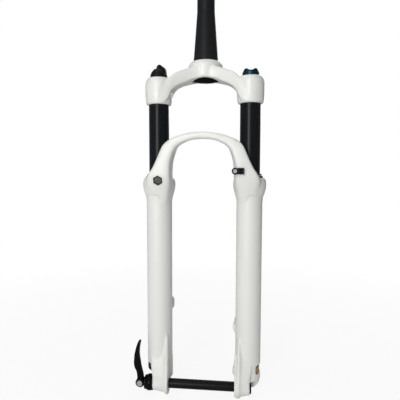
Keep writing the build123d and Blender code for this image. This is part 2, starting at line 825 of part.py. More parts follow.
with BuildPart() as hose_guide:
    with Locations(Location((guide_screw_x, arch_front - 2, guide_z), (90, 0, 0))):
        Cylinder(5.2, 4)
    with Locations((guide_x + 4.4, arch_front - 4, guide_z)):
        Box(9.4, 8, 9.6)
    fillet(hose_guide.edges().filter_by(Axis.Z), 1.2)
    with Locations((guide_x + 4.4, arch_front - 4.6, guide_z)):
        Cylinder(2.6, 12, mode=Mode.SUBTRACT)
    with Locations((guide_x + 4.4, arch_front - 8, guide_z)):
        Box(3, 4, 12, mode=Mode.SUBTRACT)
    with Locations(Location((guide_screw_x, arch_front - 2, guide_z), (90, 0, 0))):
        Cylinder(screw_radius, 10, mode=Mode.SUBTRACT)
keep(hose_guide.part, "hose_guide")

with BuildPart() as hose_guide_screw:
    with Locations(Location((guide_screw_x, arch_front - 5.05, guide_z), (90, 0, 0))):
        Cylinder(2.8, 2)
    with Locations(Location((guide_screw_x, arch_front + 0.3, guide_z), (90, 0, 0))):
        Cylinder(screw_radius - thread_gap, 9.4)
    socket_plane = Plane(origin=(guide_screw_x, arch_front - 6.5, guide_z), x_dir=(1, 0, 0), z_dir=(0, 1, 0))
    with BuildSketch(socket_plane):
        RegularPolygon(1.3, 6)
    extrude(amount=1.8, mode=Mode.SUBTRACT)
keep(hose_guide_screw.part, "hose_guide_screw")

# Quick-release wheel axle.
washer_x = lever_face - 1.6
collar_x = lever_face - 12.2
seat_x = collar_x - 1.6
pivot_radius = 7.4
pivot_x = seat_x - loose_gap - pivot_radius
nut_flange = 2.6
collar_radius = axle_radius + 6
lever_width = 12.0
draw_rod_radius = axle_bore - 0.2
eye_width = draw_rod_radius * 2
pin_radius = 3.5
lever_length = 71.0

with BuildPart() as axle_nut:
    axle_ring(axle_nut_radius, axle_radius + running_gap, nut_face, nut_face + nut_flange)
    chamfer(axle_nut.edges().filter_by(GeomType.CIRCLE).group_by(Axis.X)[-1].sort_by(SortBy.RADIUS)[-1], 0.8)
keep(axle_nut.part, "axle_nut")

with BuildPart() as axle_washer:
    axle_ring(collar_radius - 1.5, axle_radius + running_gap, washer_x, lever_face - 0.05)
keep(axle_washer.part, "axle_washer")

with BuildPart() as axle_tube:
    axle_ring(axle_radius, axle_bore, collar_x + 4, nut_face + nut_flange - 0.3)
    chamfer(axle_tube.edges().filter_by(GeomType.CIRCLE).group_by(Axis.X)[-1], 0.8)
keep(axle_tube.part, "axle_tube")

with BuildPart() as axle_collar:
    with BuildSketch(Plane(origin=(collar_x, axle_y, axle_z), x_dir=(0, 1, 0), z_dir=(1, 0, 0))):
        RegularPolygon(collar_radius, 8, major_radius=False, rotation=22.5)
    extrude(amount=washer_x - 0.05 - collar_x)
    chamfer(axle_collar.faces().filter_by(Axis.X).edges(), 1.4)
    axle_ring(axle_radius + thread_gap, 0, collar_x + 4, washer_x + 1, Mode.SUBTRACT)
    axle_ring(axle_bore, 0, collar_x - 1, collar_x + 5, Mode.SUBTRACT)
keep(axle_collar.part, "axle_collar")

with BuildPart() as cam_seat:
    axle_ring(collar_radius - 2.5, axle_bore, seat_x, collar_x)
    chamfer(cam_seat.edges().filter_by(GeomType.CIRCLE).group_by(Axis.X)[0].sort_by(SortBy.RADIUS)[-1], 0.5)
keep(cam_seat.part, "cam_seat")

with BuildPart() as draw_rod:
    axle_ring(draw_rod_radius, 0, pivot_x, nut_face - 12)
    with Locations(Location((pivot_x, axle_y, axle_z), (90, 0, 0))):
        Cylinder(pin_radius + 2.2, eye_width)
        Cylinder(pin_radius, eye_width + 2, mode=Mode.SUBTRACT)
keep(draw_rod.part, "draw_rod")

with BuildPart() as lever_pivot_pin:
    with Locations(Location((pivot_x, axle_y, axle_z), (90, 0, 0))):
        Cylinder(pin_radius, lever_width + 0.6)
    with Locations(Location((pivot_x, axle_y - lever_width / 2 - 0.9, axle_z), (90, 0, 0))):
        Cylinder(pin_radius + 1.3, 1.2)
    chamfer(lever_pivot_pin.edges().filter_by(GeomType.CIRCLE).group_by(Axis.Y)[0], 0.4)
keep(lever_pivot_pin.part, "lever_pivot_pin")

with BuildPart() as axle_lever:
    # Side outline of the lever: a round hub, then a blade that bows away from the leg.
    pivot_plane = Plane(origin=(pivot_x, axle_y + lever_width / 2, axle_z), x_dir=(1, 0, 0), z_dir=(0, -1, 0))
    with BuildSketch(pivot_plane):
        with BuildLine():
            ThreePointArc((pivot_radius, 0), (0, -pivot_radius), (-pivot_radius, 0))
            Spline(
                (-pivot_radius, 0),
                (-4.8, lever_length * 0.19),
                (-10.0, lever_length * 0.43),
                (-8.6, lever_length * 0.72),
                (-2.0, lever_length - 0.8),
            )
            ThreePointArc((-2.0, lever_length - 0.8), (0.2, lever_length), (2.0, lever_length - 2))
            Spline(
                (2.0, lever_length - 2),
                (-1.4, lever_length * 0.7),
                (1.2, lever_length * 0.36),
                (pivot_radius - 2.0, lever_length * 0.15),
                (pivot_radius, 0),
            )
        make_face()
    extrude(amount=lever_width)
    # Seen along the axle the blade narrows towards its tip.
    with BuildSketch(Plane(origin=(pivot_x - 20, axle_y, axle_z), x_dir=(0, 1, 0), z_dir=(1, 0, 0))):
        with BuildLine():
            Polyline(
                (-lever_width / 2, -pivot_radius - 1),
                (lever_width / 2, -pivot_radius - 1),
                (lever_width / 2, lever_length * 0.3),
                (lever_width / 2 - 1.2, lever_length * 0.94),
                (lever_width / 2 - 3, lever_length + 1),
                (-lever_width / 2 + 3, lever_length + 1),
                (-lever_width / 2 + 1.2, lever_length * 0.94),
                (-lever_width / 2, lever_length * 0.3),
                close=True,
            )
        make_face()
    extrude(amount=40, mode=Mode.INTERSECT)
    with Locations((pivot_x, axle_y, axle_z + 1)):
        Box(pivot_radius * 3, eye_width + 2 * loose_gap, pivot_radius * 2 + 8, mode=Mode.SUBTRACT)
    with Locations(Location((pivot_x, axle_y, axle_z), (90, 0, 0))):
        Cylinder(pin_radius + running_gap, lever_width + 2, mode=Mode.SUBTRACT)
keep(axle_lever.part, "axle_lever")
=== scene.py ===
import math

import bmesh
import bpy
from mathutils import Matrix, Vector
from mathutils.bvhtree import BVHTree


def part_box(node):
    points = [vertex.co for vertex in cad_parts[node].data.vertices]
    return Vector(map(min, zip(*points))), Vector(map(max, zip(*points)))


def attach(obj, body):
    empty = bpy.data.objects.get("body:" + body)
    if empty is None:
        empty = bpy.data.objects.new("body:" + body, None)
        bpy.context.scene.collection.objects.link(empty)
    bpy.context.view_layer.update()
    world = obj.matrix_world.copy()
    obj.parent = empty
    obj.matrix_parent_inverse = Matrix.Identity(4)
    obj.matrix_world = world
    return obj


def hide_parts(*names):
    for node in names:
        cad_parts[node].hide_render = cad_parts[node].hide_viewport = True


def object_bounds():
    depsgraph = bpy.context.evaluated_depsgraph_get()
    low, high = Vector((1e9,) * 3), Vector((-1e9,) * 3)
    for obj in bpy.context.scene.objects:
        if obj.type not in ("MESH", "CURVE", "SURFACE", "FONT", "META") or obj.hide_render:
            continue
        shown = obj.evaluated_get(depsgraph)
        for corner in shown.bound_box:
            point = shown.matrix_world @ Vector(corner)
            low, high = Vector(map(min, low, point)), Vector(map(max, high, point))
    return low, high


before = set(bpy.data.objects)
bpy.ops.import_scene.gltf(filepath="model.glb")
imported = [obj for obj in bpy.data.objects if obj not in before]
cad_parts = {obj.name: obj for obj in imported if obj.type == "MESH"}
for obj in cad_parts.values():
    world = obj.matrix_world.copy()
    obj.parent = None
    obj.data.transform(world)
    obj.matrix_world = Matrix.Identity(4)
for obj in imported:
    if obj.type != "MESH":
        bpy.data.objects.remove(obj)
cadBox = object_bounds()
print("fork frame loaded")

mm = 0.001  # outlines below are in millimetres
sharpAngle = 38  # degrees, edges bent further than this stay crisp


def spanOf(node):
    low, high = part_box(node)
    return low / mm, high / mm


# where the bought-in round parts sit, which the painted parts are shaped around
tubeLow, tubeHigh = spanOf("air_stanchion")
legX = (tubeLow.x + tubeHigh.x) / 2
legY = (tubeLow.y + tubeHigh.y) / 2
tubeRadius = (tubeHigh.x - tubeLow.x) / 2
sealTop = spanOf("air_dust_wiper")[1].z
axleLow, axleHigh = spanOf("axle_tube")
axleY = (axleLow.y + axleHigh.y) / 2
axleZ = (axleLow.z + axleHigh.z) / 2
axleRadius = (axleHigh.z - axleLow.z) / 2
leverFace = spanOf("axle_washer")[1].x + 0.05
nutFace = spanOf("axle_nut")[0].x
bossBottom = spanOf("crown")[0].z
capTop = spanOf("damper_top_cap")[1].z
footKnobLow, footKnobHigh = spanOf("rebound_knob")
castBack = spanOf("lower_casting")[1].y


# mesh tools

def meshPiece(name, points, faces):
    mesh = bpy.data.meshes.new(name)
    mesh.from_pydata([Vector(p) * mm for p in points], [], faces)
    tidyNormals(mesh)
    piece = bpy.data.objects.new(name, mesh)
    bpy.context.scene.collection.objects.link(piece)
    return piece


def tidyNormals(mesh):
    work = bmesh.new()
    work.from_mesh(mesh)
    bmesh.ops.recalc_face_normals(work, faces=work.faces)
    work.to_mesh(mesh)
    work.free()
    mesh.update()


def loft(name, rings):
    # skin over closed rings of points, with a flat cap at each end
    count = len(rings[0])
    points = [p for ring in rings for p in ring]
    faces = [list(range(count)), [len(points) - 1 - i for i in range(count)]]
    for r in range(len(rings) - 1):
        for i in range(count):
            j = (i + 1) % count
            faces.append([r * count + i, r * count + j, (r + 1) * count + j, (r + 1) * count + i])
    return meshPiece(name, points, faces)


def upright(x, y=legY):
    return Matrix.Translation((x, y, 0))


def alongX():
    turn = Matrix(((0, 0, 1, 0), (0, 1, 0, 0), (-1, 0, 0, 0), (0, 0, 0, 1)))
    return Matrix.Translation((0, axleY, axleZ)) @ turn


def alongY(x, z):
    turn = Matrix(((1, 0, 0, 0), (0, 0, 1, 0), (0, -1, 0, 0), (0, 0, 0, 1)))
    return Matrix.Translation((x, 0, z)) @ turn


def turned(name, profile, place, steps=96):
    # solid of revolution about the place's own z; profile points are radius and distance along it
    rings = []
    for radius, along in profile:
        radius = max(radius, 0.001)
        turns = [2 * math.pi * i / steps for i in range(steps)]
        rings.append([place @ Vector((radius * math.cos(a), radius * math.sin(a), along)) for a in turns])
    return loft(name, rings)


def smoothRun(rows, steps):
    # rows of numbers joined by a Catmull-Rom curve, steps spans between neighbours
    out = []
    for i in range(len(rows) - 1):
        before, a, b, after = rows[max(i - 1, 0)], rows[i], rows[i + 1], rows[min(i + 2, len(rows) - 1)]
        for s in range(steps):
            t = s / steps
            out.append([
                0.5 * (2 * q + (r - p) * t + (2 * p - 5 * q + 4 * r - w) * t * t + (3 * q - p - 3 * r + w) * t ** 3)
                for p, q, r, w in zip(before, a, b, after)
            ])
    out.append(list(rows[-1]))
    return out


def roundedCorners(corners, radii, steps=5):
    # flat outline with each corner eased by its own radius
    out = []
    for i, (corner, radius) in enumerate(zip(corners, radii)):
        here = Vector(corner)
        back = Vector(corners[i - 1]) - here
        ahead = Vector(corners[(i + 1) % len(corners)]) - here
        start = here + back.normalized() * min(radius, back.length * 0.48)
        end = here + ahead.normalized() * min(radius, ahead.length * 0.48)
        for s in range(steps + 1):
            t = s / steps
            out.append(start * (1 - t) ** 2 + here * 2 * t * (1 - t) + end * t * t)
    return out


def joined(name, parts):
    work = bmesh.new()
    for part in parts:
        work.from_mesh(part.data)
        bpy.data.objects.remove(part)
    mesh = bpy.data.meshes.new(name)
    work.to_mesh(mesh)
    work.free()
    piece = bpy.data.objects.new(name, mesh)
    bpy.context.scene.collection.objects.link(piece)
    return piece


def settle(piece):
    # takes the modifiers' result as the piece's own mesh
    bpy.context.view_layer.update()
    shaped = piece.evaluated_get(bpy.context.evaluated_depsgraph_get())
    mesh = bpy.data.meshes.new_from_object(shaped)
    piece.modifiers.clear()
    old = piece.data
    piece.data = mesh
    bpy.data.meshes.remove(old)


def blended(name, parts, grain, passes):
    # one skin over overlapping solids, its inside corners filled like a casting's
    piece = joined(name, parts)
    remesh = piece.modifiers.new("skin", "REMESH")
    remesh.mode = "VOXEL"
    remesh.voxel_size = grain * mm
    ease = piece.modifiers.new("ease", "SMOOTH")
    ease.factor = 0.5
    ease.iterations = passes
    settle(piece)
    return piece


def cutAway(piece, cutters):
    for cutter in cutters:
        cut = piece.modifiers.new("cut", "BOOLEAN")
        cut.operation = "DIFFERENCE"
        cut.object = cutter
        cut.solver = "MANIFOLD"
    settle(piece)
    for cutter in cutters:
        bpy.data.objects.remove(cutter)


def fit(piece, body, slot, finish, *nodes):
    piece.data.shade_smooth()
    piece.data.set_sharp_from_angle(angle=math.radians(sharpAngle))
    piece.data.materials.clear()
    piece.data.materials.append(finish)
    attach(piece, body)
    if nodes:
        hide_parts(*nodes)
    print("fitted", piece.name, len(piece.data.polygons), "faces")


# shader groups shared by the finishes

def nodeGroup(name, inputs, outputs):
    group = bpy.data.node_groups.new(name, "ShaderNodeTree")
    for label, kind, value in inputs:
        socket = group.interface.new_socket(name=label, in_out="INPUT", socket_type=kind)
        socket.default_value = value
    for label, kind in outputs:
        group.interface.new_socket(name=label, in_out="OUTPUT", socket_type=kind)
    return group, group.nodes.new("NodeGroupInput"), group.nodes.new("NodeGroupOutput")


def buildPaintSkin():
    # orange peel, the slow drift of gloss over a sprayed part, and faint handling smears
    group, given, out = nodeGroup(
        "paintSkin",
        [("Peel Scale", "NodeSocketFloat", 420.0), ("Drift Scale", "NodeSocketFloat", 18.0)],
        [("Peel", "NodeSocketFloat"), ("Drift", "NodeSocketFloat"), ("Smear", "NodeSocketFloat")],
    )
    nodes, links = group.nodes, group.links
    where = nodes.new("ShaderNodeTexCoord")
    peel = nodes.new("ShaderNodeTexNoise")
    peel.inputs["Detail"].default_value = 3
    drift = nodes.new("ShaderNodeTexNoise")
    drift.inputs["Detail"].default_value = 4
    stretch = nodes.new("ShaderNodeMapping")
    stretch.inputs["Scale"].default_value = (140, 140, 22)
    smear = nodes.new("ShaderNodeTexNoise")
    smear.inputs["Scale"].default_value = 1
    smear.inputs["Detail"].default_value = 6
    smear.inputs["Roughness"].default_value = 0.7
    keep = nodes.new("ShaderNodeMapRange")
    keep.inputs["From Min"].default_value = 0.56
    keep.inputs["From Max"].default_value = 0.78
    for noise, scale in ((peel, "Peel Scale"), (drift, "Drift Scale")):
        links.new(where.outputs["Object"], noise.inputs["Vector"])
        links.new(given.outputs[scale], noise.inputs["Scale"])
    links.new(where.outputs["Object"], stretch.inputs["Vector"])
    links.new(stretch.outputs["Vector"], smear.inputs["Vector"])
    links.new(smear.outputs["Fac"], keep.inputs["Value"])
    links.new(peel.outputs["Fac"], out.inputs["Peel"])
    links.new(drift.outputs["Fac"], out.inputs["Drift"])
    links.new(keep.outputs["Result"], out.inputs["Smear"])
    return group


def buildLatheLines():
    # fine rings left by turning, running round the given axis
    group, given, out = nodeGroup(
        "latheLines",
        [("Axis", "NodeSocketVector", (0.0, 0.0, 1.0)), ("Pitch", "NodeSocketFloat", 2600.0)],
        [("Height", "NodeSocketFloat"), ("Tone", "NodeSocketFloat")],
    )
    nodes, links = group.nodes, group.links
    where = nodes.new("ShaderNodeTexCoord")
    along = nodes.new("ShaderNodeVectorMath")
    along.operation = "DOT_PRODUCT"
    scaled = nodes.new("ShaderNodeMath")
    scaled.operation = "MULTIPLY"
    lines = nodes.new("ShaderNodeTexNoise")
    lines.noise_dimensions = "1D"
    lines.inputs["Scale"].default_value = 1
    lines.inputs["Detail"].default_value = 2
    cloud = nodes.new("ShaderNodeTexNoise")
    cloud.inputs["Scale"].default_value = 60
    links.new(where.outputs["Object"], along.inputs[0])
    links.new(given.outputs["Axis"], along.inputs[1])
    links.new(along.outputs["Value"], scaled.inputs[0])
    links.new(given.outputs["Pitch"], scaled.inputs[1])
    links.new(scaled.outputs["Value"], lines.inputs["W"])
    links.new(where.outputs["Object"], cloud.inputs["Vector"])
    links.new(lines.outputs["Fac"], out.inputs["Height"])
    links.new(cloud.outputs["Fac"], out.inputs["Tone"])
    return group


def buildMouldGrain():
    # spark-eroded grain of a moulded part, with dust caught in its hollows
    group, given, out = nodeGroup(
        "mouldGrain",
        [("Grain Scale", "NodeSocketFloat", 1500.0)],
        [("Grain", "NodeSocketFloat"), ("Dust", "NodeSocketFloat")],
    )
    nodes, links = group.nodes, group.links
    where = nodes.new("ShaderNodeTexCoord")
    grain = nodes.new("ShaderNodeTexVoronoi")
    dust = nodes.new("ShaderNodeTexNoise")
    dust.inputs["Scale"].default_value = 90
    dust.inputs["Detail"].default_value = 7
    limit = nodes.new("ShaderNodeMapRange")
    limit.inputs["From Min"].default_value = 0.5
    limit.inputs["From Max"].default_value = 0.85
    links.new(where.outputs["Object"], grain.inputs["Vector"])
    links.new(given.outputs["Grain Scale"], grain.inputs["Scale"])
    links.new(where.outputs["Object"], dust.inputs["Vector"])
    links.new(dust.outputs["Fac"], limit.inputs["Value"])
    links.new(grain.outputs["Distance"], out.inputs["Grain"])
    links.new(limit.outputs["Result"], out.inputs["Dust"])
    return group


def buildEdgeRub():
    # edges polished by handling
    group, given, out = nodeGroup(
        "edgeRub",
        [("Start", "NodeSocketFloat", 0.53), ("Full", "NodeSocketFloat", 0.62)],
        [("Mask", "NodeSocketFloat")],
    )
    nodes, links = group.nodes, group.links
    shape = nodes.new("ShaderNodeNewGeometry")
    limit = nodes.new("ShaderNodeMapRange")
    where = nodes.new("ShaderNodeTexCoord")
    patches = nodes.new("ShaderNodeTexNoise")
    patches.inputs["Scale"].default_value = 260
    patches.inputs["Detail"].default_value = 5
    product = nodes.new("ShaderNodeMath")
    product.operation = "MULTIPLY"
    links.new(shape.outputs["Pointiness"], limit.inputs["Value"])
    links.new(given.outputs["Start"], limit.inputs["From Min"])
    links.new(given.outputs["Full"], limit.inputs["From Max"])
    links.new(where.outputs["Object"], patches.inputs["Vector"])
    links.new(limit.outputs["Result"], product.inputs[0])
    links.new(patches.outputs["Fac"], product.inputs[1])
    links.new(product.outputs["Value"], out.inputs["Mask"])
    return group


paintSkin = buildPaintSkin()
latheLines = buildLatheLines()
mouldGrain = buildMouldGrain()
edgeRub = buildEdgeRub()


def newFinish(name, **sockets):
    material = bpy.data.materials.new(name)
    material.use_nodes = True
    shader = material.node_tree.nodes["Principled BSDF"]
    for label, value in sockets.items():
        shader.inputs[label.replace("_", " ")].default_value = value
    return material, material.node_tree.nodes, material.node_tree.links, shader


def placeGroup(nodes, group, **values):
    placed = nodes.new("ShaderNodeGroup")
    placed.node_tree = group
    for label, value in values.items():
        placed.inputs[label.replace("_", " ")].default_value = value
    return placed


def addMix(nodes, links, mask, dark, light):
    # colour between two, by a mask
    mix = nodes.new("ShaderNodeMix")
    mix.data_type = "RGBA"
    mix.inputs["A"].default_value = (*dark, 1)
    mix.inputs["B"].default_value = (*light, 1)
    links.new(mask, mix.inputs["Factor"])
    return mix.outputs["Result"]


def addRange(nodes, links, value, low, high):
    spread = nodes.new("ShaderNodeMapRange")
    spread.inputs["To Min"].default_value = low
    spread.inputs["To Max"].default_value = high
    links.new(value, spread.inputs["Value"])
    return spread.outputs["Result"]


def addBump(nodes, links, shader, height, strength, depth):
    bump = nodes.new("ShaderNodeBump")
    bump.inputs["Strength"].default_value = strength
    bump.inputs["Distance"].default_value = depth * mm
    links.new(height, bump.inputs["Height"])
    links.new(bump.outputs["Normal"], shader.inputs["Normal"])


def sprayed(name, dark, light, low, high, peelScale, peelDepth, **sockets):
    # painted or dipped finish: tone and gloss drift slowly, with orange peel
    material, nodes, links, shader = newFinish(name, **sockets)
    skin = placeGroup(nodes, paintSkin, Peel_Scale=peelScale)
    links.new(addMix(nodes, links, skin.outputs["Drift"], dark, light), shader.inputs["Base Color"])
    smeared = nodes.new("ShaderNodeMath")
    smeared.operation = "MULTIPLY_ADD"
    smeared.inputs[1].default_value = 0.06
    links.new(skin.outputs["Smear"], smeared.inputs[0])
    links.new(addRange(nodes, links, skin.outputs["Drift"], low, high), smeared.inputs[2])
    links.new(smeared.outputs["Value"], shader.inputs["Roughness"])
    addBump(nodes, links, shader, skin.outputs["Peel"], 0.35, peelDepth)
    return material


def machined(name, dark, light, low, high, axis, lineDepth, rubbed, **sockets):
    # turned metal: rings round the axis, cloudy gloss and brighter edges
    material, nodes, links, shader = newFinish(name, **sockets)
    lines = placeGroup(nodes, latheLines, Axis=axis)
    rub = placeGroup(nodes, edgeRub)
    tone = addMix(nodes, links, lines.outputs["Tone"], dark, light)
    edge = nodes.new("ShaderNodeMix")
    edge.data_type = "RGBA"
    edge.inputs["B"].default_value = (*rubbed, 1)
    links.new(tone, edge.inputs["A"])
    links.new(rub.outputs["Mask"], edge.inputs["Factor"])
    links.new(edge.outputs["Result"], shader.inputs["Base Color"])
    links.new(addRange(nodes, links, lines.outputs["Tone"], low, high), shader.inputs["Roughness"])
    addBump(nodes, links, shader, lines.outputs["Height"], 0.4, lineDepth)
    return material


def moulded(name, dark, dusty, low, high, grainScale, grainDepth, **sockets):
    # moulded plastic, rubber or foam: pitted grain and a little dust
    material, nodes, links, shader = newFinish(name, **sockets)
    grain = placeGroup(nodes, mouldGrain, Grain_Scale=grainScale)
    links.new(addMix(nodes, links, grain.outputs["Dust"], dark, dusty), shader.inputs["Base Color"])
    links.new(addRange(nodes, links, grain.outputs["Dust"], low, high), shader.inputs["Roughness"])
    addBump(nodes, links, shader, grain.outputs["Grain"], 0.5, grainDepth)
    return material


upAxis = (0.0, 0.0, 1.0)
wheelAxis = (1.0, 0.0, 0.0)
finishes = {
    "white_paint": sprayed(
        "gloss white enamel", (0.77, 0.775, 0.728), (0.81, 0.815, 0.766), 0.36, 0.46, 420, 0.05,
        Coat_Weight=0.2, Coat_Roughness=0.12,
    ),
    "black_steerer": sprayed(
        "satin black steerer paint", (0.009, 0.01, 0.011), (0.015, 0.016, 0.018), 0.4, 0.52, 700, 0.06,
        Specular_IOR_Level=0.11,
    ),
    "black_stanchion": machined(
        "gloss black hard anodising", (0.002, 0.003, 0.0035), (0.004, 0.0055, 0.006), 0.2, 0.28, upAxis, 0.004,
        (0.012, 0.014, 0.016), Specular_IOR_Level=0.13,
    ),
    "black_anodised": machined(
        "satin black anodising", (0.002, 0.0024, 0.0024), (0.004, 0.0048, 0.005), 0.22, 0.32, wheelAxis, 0.008,
        (0.012, 0.014, 0.016), Specular_IOR_Level=0.07,
    ),
    "black_plastic": moulded(
        "black nylon moulding", (0.003, 0.003, 0.004), (0.008, 0.008, 0.009), 0.42, 0.58, 1500, 0.04,
        Specular_IOR_Level=0.16,
    ),
    "blue_anodised": machined(
        "dark blue anodising", (0.004, 0.02, 0.034), (0.008, 0.034, 0.055), 0.3, 0.42, upAxis, 0.008,
        (0.03, 0.09, 0.13), Metallic=0.8, Specular_IOR_Level=0.3,
    ),
    "bare_aluminium": machined(
        "bare turned aluminium", (0.52, 0.53, 0.54), (0.62, 0.63, 0.64), 0.28, 0.4, upAxis, 0.01,
        (0.75, 0.75, 0.76), Metallic=1.0,
    ),
    "bright_steel": machined(
        "bright turned steel", (0.5, 0.5, 0.51), (0.6, 0.6, 0.61), 0.18, 0.3, (0.0, 1.0, 0.0), 0.006,
        (0.75, 0.75, 0.76), Metallic=1.0,
    ),
    "brass": machined(
        "tarnished brass", (0.3, 0.16, 0.05), (0.48, 0.29, 0.1), 0.34, 0.5, upAxis, 0.01,
        (0.6, 0.42, 0.2), Metallic=0.95,
    ),
    "bushing_bronze": machined(
        "bushing bronze", (0.24, 0.16, 0.08), (0.36, 0.25, 0.14), 0.4, 0.55, upAxis, 0.008,
        (0.45, 0.33, 0.2), Metallic=0.9,
    ),
    "black_rubber": moulded(
        "nitrile seal rubber", (0.007, 0.007, 0.007), (0.02, 0.02, 0.019), 0.55, 0.72, 2200, 0.03,
    ),
    "yellow_foam": moulded(
        "oil foam", (0.55, 0.42, 0.16), (0.7, 0.58, 0.28), 0.85, 0.95, 700, 0.3,
    ),
    "badge_face": moulded(
        "badge resin", (0.006, 0.006, 0.006), (0.014, 0.014, 0.014), 0.16, 0.28, 900, 0.01,
        Coat_Weight=0.6, Coat_Roughness=0.06,
    ),
}
badgeGrey = moulded("badge grey resin", (0.07, 0.074, 0.078), (0.15, 0.155, 0.16), 0.3, 0.42, 900, 0.02)
# two small pieces look different from the rest of their slot; the crown plug is near-black with almost no
# reflection, painted shade standing for the shadowed open bottom of the steerer
ownFinish = {
    # painted shade: the plug is kept near-black and unreflective to stand for the shadow inside the steerer's
    # bottom
    "crown_plug": moulded(
        "crown plug painted shade", (0.0015, 0.0015, 0.0018), (0.004, 0.004, 0.0042), 0.75, 0.9, 1800, 0.03,
        Specular_IOR_Level=0.02,
    ),
    "hose_guide_screw": machined(
        "grey zinc plate", (0.2, 0.2, 0.205), (0.28, 0.285, 0.29), 0.38, 0.5, (0.0, 1.0, 0.0), 0.006,
        (0.4, 0.4, 0.41), Metallic=1.0,
    ),
}
print("finishes ready")

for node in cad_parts.values():
    slotName = node.data.materials[0].name.split(".")[0]
    node.data.materials.clear()
    node.data.materials.append(ownFinish.get(node.name, finishes[slotName]))


# lower casting: two legs, their seal cups, the arch and the axle dropouts

casting = {
    "trunkGrain": 1.3,  # skin resolution of the arch and seal cups, mm
    "trunkEase": 10,
    "grain": 1.1,  # and of the whole casting
    "ease": 5,
    "legRadius": 20.4,
    "cupRadius": 26.0,
    "cupHeight": 33.5,
    "boreRadius": 17.3,
    "archFront": -62.0,
    "archBack": -50.5,
    "wallBack": -44.0,
    "hubHalf": 55.0,
    "hubLip": 3.8,
    "eyeRadius": 17.0,
    "postHeights": (16, 90),  # brake posts above the axle, and how far in from the leg's middle
    "postInset": 15.5,
    "shieldWall": 0.6,
    "footBoltHole": 5.1,
    "nutRecess": 10.4,
    "hubRecess": 12.5,
}
cupBottom = sealTop - casting["cupHeight"]
creaseLow = cupBottom - 14
floorTop = spanOf("bottom_out_bumper")[0].z
floorBottom = spanOf("air_foot_washer")[1].z
footNutLow, footNutHigh = spanOf("air_foot_nut")
footNutRadius = (footNutHigh.x - footNutLow.x) / 2
damperFoot = footKnobHigh.z + 0.8
airFoot = axleZ - 5


def legProfile(side):
    legRadius = casting["legRadius"]
    if side < 0:
        foot = [(0, damperFoot), (legRadius - 1.4, damperFoot), (legRadius, damperFoot + 1.6)]
    else:
        foot = [
            (0, airFoot), (7, airFoot), (12, airFoot + 1.1), (16.5, airFoot + 4.2), (18.8, airFoot + 9),
            (20.3, airFoot + 16), (legRadius, airFoot + 26),
        ]
    return foot + [(legRadius, creaseLow), (legRadius + 0.5, cupBottom - 6), (legRadius + 1.4, cupBottom),
                   (legRadius + 2.4, cupBottom + 5), (0, cupBottom + 8)]


def cupProfile():
    legRadius, cupRadius = casting["legRadius"], casting["cupRadius"]
    return [
        (0, creaseLow), (legRadius - 0.2, creaseLow), (legRadius + 0.6, cupBottom - 7),
        (legRadius + 2.7, cupBottom), (legRadius + 3.6, cupBottom + 4), (cupRadius - 0.6, cupBottom + 9),
        (cupRadius, cupBottom + 13),
        (cupRadius, cupBottom + 18), (cupRadius - 0.2, cupBottom + 21), (cupRadius - 1.2, cupBottom + 24),
        (cupRadius - 2.4, sealTop - 6.6), (0, sealTop - 6.4),
    ]


def archSection(station):
    outX, outZ, inX, inZ, front, backOut, backIn, bulge, draft, topEase, innerEase = station
    inner, outer = Vector((inX, inZ)), Vector((outX, outZ))
    width = (outer - inner).length
    corners = [
        (draft, front), (width * 0.5, front - bulge), (width, front), (width, backOut),
        (width * 0.55, backOut), (0, backIn),
    ]
    radii = [innerEase, width * 0.3, topEase, 2.5, width * 0.2, 2.5]
    ring = []
    for flat in roundedCorners(corners, radii):
        spot = inner.lerp(outer, flat.x / width)
        ring.append((spot.x, flat.y, spot.y))
    return ring


front, back, wall = casting["archFront"], casting["archBack"], casting["wallBack"]
# outer x and z, inner x and z, front, back at the outer and inner edge, crown of the face,
# draft of the inner wall, then the rounding of the top and inner edges
halfArch = [
    (0.01, sealTop + 63.5, 0.01, sealTop + 52, front + 0.6, back, back, 0.5, 1.6, 3.6, 1.4),
    (20, sealTop + 62, 18, sealTop + 50, front + 0.5, back, back, 0.5, 1.7, 3.8, 1.4),
    (35, sealTop + 58.5, 30, sealTop + 45, front + 0.3, back, back + 0.5, 0.5, 2.2, 4.4, 1.6),
    (47, sealTop + 54, 37.5, sealTop + 39.5, front, back, back + 2, 0.5, 3, 5, 1.8),
    (57, sealTop + 47.5, 41.8, sealTop + 31.5, front, back, wall + 2, 0.6, 3.8, 5, 2),
    (63, sealTop + 40, 44, sealTop + 24, front, back, wall, 0.8, 4.4, 4.6, 2.2),
    (70, sealTop + 24, 45.6, sealTop + 16, front, back, wall, 1.0, 4.8, 4.4, 2.2),
    (77.5, sealTop + 8.5, 46.3, sealTop + 6, front, back, wall, 1.2, 5, 4.4, 2.4),
    (84.2, sealTop - 1.5, 46.5, sealTop - 4, front + 0.4, back + 2, wall, 1.8, 5, 5, 3),
    (88.5, sealTop - 8.5, 46.5, sealTop - 12, front + 2.6, back + 10, wall + 4, 2.6, 5, 11, 4),
    (88.5, sealTop - 17, 47.3, sealTop - 20, front + 6.0, back + 12, wall + 8, 3.0, 5, 14, 6),
    (86, sealTop - 26, 49.5, sealTop - 28, front + 9.4, back + 12, wall + 8, 2.8, 5, 14, 8),
    (83, sealTop - 36, 52.2, sealTop - 37, front + 12.4, back + 12, wall + 8, 1.6, 4, 12, 9),
    (78, sealTop - 48, 57, sealTop - 49, front + 17, back + 14, wall + 8, 0.2, 2, 8, 8),
]
stations = [[-s[0], s[1], -s[2], s[3], *s[4:]] for s in reversed(halfArch)] + [list(s) for s in halfArch[1:]]
arch = loft("arch", [archSection(s) for s in smoothRun(stations, 4)])


